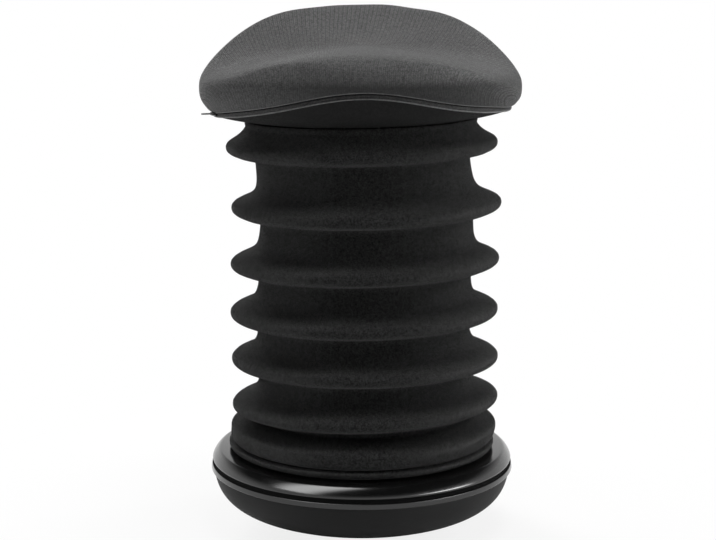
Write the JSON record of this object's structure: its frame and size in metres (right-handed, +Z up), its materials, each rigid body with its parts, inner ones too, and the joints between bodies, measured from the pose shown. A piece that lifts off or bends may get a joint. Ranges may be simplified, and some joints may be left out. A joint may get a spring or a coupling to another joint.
{
  "type": "wobble stool",
  "caption": "Height-adjustable wobble stool: domed weighted base, ribbed fabric bellows round a gas column, swivelling saddle seat with a zipped fabric cover.",
  "frame": {"origin": "centre of the small flat on which the domed sole rests, on the floor", "axes": "+Z up along the column, +X to the sitter's left seen from in front, -Y towards the front of the seat, +Y towards its raised rear edge"},
  "size_m": [0.348, 0.344, 0.5761],
  "materials": {
    "sole": "matt black, ribbed grip",
    "shell_black": "satin black, fine grain",
    "gloss_black": "high gloss black",
    "ballast": "as cast",
    "black_steel": "black powder coat",
    "bright_steel": "zinc plated or ground",
    "nylon": "natural nylon",
    "inner_black": "moulded black",
    "buffer": "matt",
    "seat_fabric": "charcoal melange knit, fine lines front to back",
    "bellows_fabric": "near-black fine knit"
  },
  "bodies": {
    "base": {"sole_pad": "sole", "base_bowl": "shell_black", "cap_ring": "gloss_black", "glide_ring": "nylon", "ballast_ring": "ballast", "column_hub": "inner_black", "hub_screw_1": "bright_steel", "hub_screw_2": "bright_steel", "hub_screw_3": "bright_steel", "hub_screw_4": "bright_steel", "column_tube": "black_steel", "guide_bush": "nylon", "thrust_washer_lower": "bright_steel", "thrust_bearing": "bright_steel"},
    "spindle": {"piston_rod": "bright_steel", "rod_clip": "black_steel", "thrust_washer_upper": "bright_steel", "rubber_buffer": "buffer", "piston": "bright_steel", "bellows_hem_ring": "nylon", "bellows": "bellows_fabric"},
    "hoop_1": {"hoop_1": "inner_black"},
    "hoop_2": {"hoop_2": "inner_black"},
    "hoop_3": {"hoop_3": "inner_black"},
    "hoop_4": {"hoop_4": "inner_black"},
    "hoop_5": {"hoop_5": "inner_black"},
    "hoop_6": {"hoop_6": "inner_black"},
    "hoop_7": {"hoop_7": "inner_black"},
    "hoop_8": {"hoop_8": "inner_black"},
    "seat": {"pressure_tube": "black_steel", "rod_gland": "inner_black", "taper_socket": "black_steel", "seat_plate": "black_steel", "seat_bolt_1": "bright_steel", "seat_bolt_2": "bright_steel", "seat_bolt_3": "bright_steel", "seat_bolt_4": "bright_steel", "seat_shell": "inner_black", "seat_cushion": "seat_fabric", "zip_tape": "bellows_fabric", "under_cover": "bellows_fabric", "neck_ring": "inner_black", "zip_slider": "gloss_black", "lever_pin": "bright_steel"},
    "lever": {"release_lever": "black_steel", "lever_grip": "inner_black"},
    "release_pin": {"release_pin": "bright_steel"},
    "zip_pull": {"zip_pull": "gloss_black"}
  },
  "joints": [
    {"name": "seat_swivel", "type": "hinge", "parent": "base", "child": "spindle", "pos_m": [0, 0, 0.03], "axis": [0, 0, 1], "continuous": true},
    {"name": "seat_height", "type": "slide", "parent": "spindle", "child": "seat", "axis": [0, 0, 1], "range_m": [-0.125, 0], "deforming": ["bellows"]},
    {"name": "hoop_1_slide", "type": "slide", "parent": "spindle", "child": "hoop_1", "axis": [0, 0, 1], "range_m": [-0.00042, 0]},
    {"name": "hoop_2_slide", "type": "slide", "parent": "spindle", "child": "hoop_2", "axis": [0, 0, 1], "range_m": [-0.00202, 0]},
    {"name": "hoop_3_slide", "type": "slide", "parent": "spindle", "child": "hoop_3", "axis": [0, 0, 1], "range_m": [-0.00863, 0]},
    {"name": "hoop_4_slide", "type": "slide", "parent": "spindle", "child": "hoop_4", "axis": [0, 0, 1], "range_m": [-0.0264, 0]},
    {"name": "hoop_5_slide", "type": "slide", "parent": "spindle", "child": "hoop_5", "axis": [0, 0, 1], "range_m": [-0.05108, 0]},
    {"name": "hoop_6_slide", "type": "slide", "parent": "spindle", "child": "hoop_6", "axis": [0, 0, 1], "range_m": [-0.08015, 0]},
    {"name": "hoop_7_slide", "type": "slide", "parent": "spindle", "child": "hoop_7", "axis": [0, 0, 1], "range_m": [-0.10708, 0]},
    {"name": "hoop_8_slide", "type": "slide", "parent": "spindle", "child": "hoop_8", "axis": [0, 0, 1], "range_m": [-0.12388, 0]},
    {"name": "lever_lift", "type": "hinge", "parent": "seat", "child": "lever", "pos_m": [0, 0.03, 0.4765], "axis": [1, 0, 0], "range_deg": [0, 6], "stiffness_Nm_per_rad": 0.5, "springref_deg": -11.46},
    {"name": "release_pin_push", "type": "slide", "parent": "seat", "child": "release_pin", "axis": [0, 0, 1], "range_m": [-0.0034, 0]},
    {"name": "zip_pull_flap", "type": "hinge", "parent": "seat", "child": "zip_pull", "pos_m": [-0.15841, -0.04753, 0.46437], "axis": [-0.2934, 0.956, 0], "range_deg": [-85, 50]}
  ],
  "couplings": [
    {"joint": "hoop_1_slide", "follows": "seat_height", "ratio": 0.00254},
    {"joint": "hoop_2_slide", "follows": "seat_height", "ratio": 0.01537},
    {"joint": "hoop_3_slide", "follows": "seat_height", "ratio": 0.06825},
    {"joint": "hoop_4_slide", "follows": "seat_height", "ratio": 0.21044},
    {"joint": "hoop_5_slide", "follows": "seat_height", "ratio": 0.40781},
    {"joint": "hoop_6_slide", "follows": "seat_height", "ratio": 0.6404},
    {"joint": "hoop_7_slide", "follows": "seat_height", "ratio": 0.85588},
    {"joint": "hoop_8_slide", "follows": "seat_height", "ratio": 0.99024},
    {"joint": "release_pin_push", "follows": "lever_lift", "m_per_rad": -0.0324}
  ]
}
